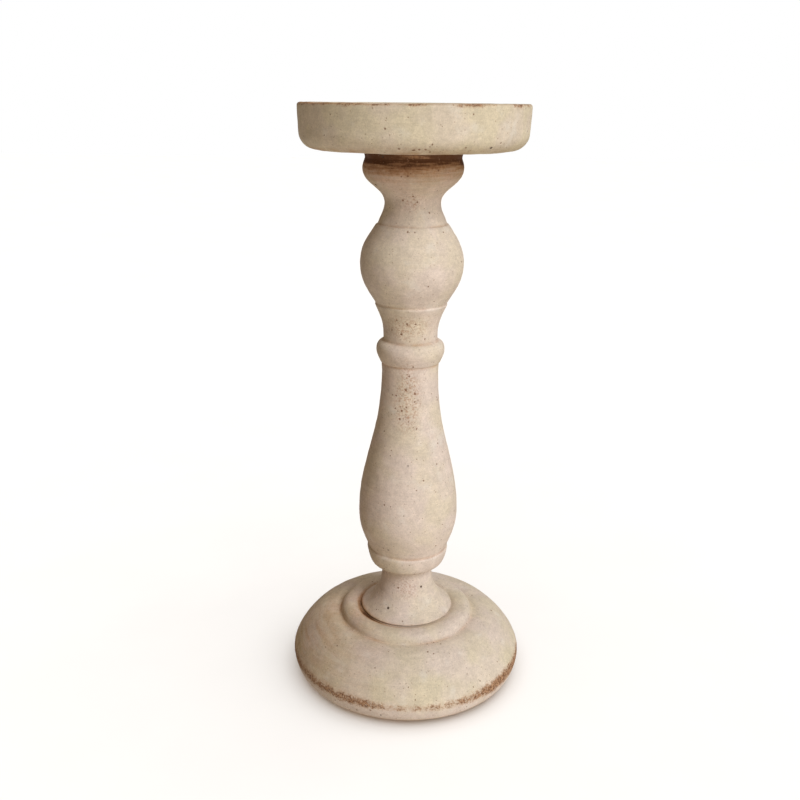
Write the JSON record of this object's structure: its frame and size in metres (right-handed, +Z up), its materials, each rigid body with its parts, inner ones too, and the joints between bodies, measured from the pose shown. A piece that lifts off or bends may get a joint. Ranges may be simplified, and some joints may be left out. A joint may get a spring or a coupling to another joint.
{
  "type": "candlestick",
  "caption": "Turned wooden candlestick for a pillar candle: a domed round base, a baluster stem and a shallow round pan, in a worn limewashed finish.",
  "frame": {"origin": "on the candlestick's axis, at the surface it stands on, under the felt pads", "axes": "+Z up along the axis that the wood is turned about; +X and +Y are alike, and the felt pads lie on the diagonals between them"},
  "size_m": [0.1078, 0.1078, 0.26],
  "materials": {
    "limewashed_wood": "matte limewash over turned wood, yellower on the pan and pinker on the stem, with dark specks and pits, and brown wood showing at worn edges",
    "zinc_steel": "dull zinc plating",
    "felt": "pressed wool felt, brown"
  },
  "bodies": {
    "root": {"base": "limewashed_wood", "stem": "limewashed_wood", "pan": "limewashed_wood", "pan_screw": "zinc_steel", "base_screw": "zinc_steel", "base_washer": "zinc_steel", "felt_pad_1": "felt", "felt_pad_2": "felt", "felt_pad_3": "felt", "felt_pad_4": "felt"}
  },
  "joints": []
}
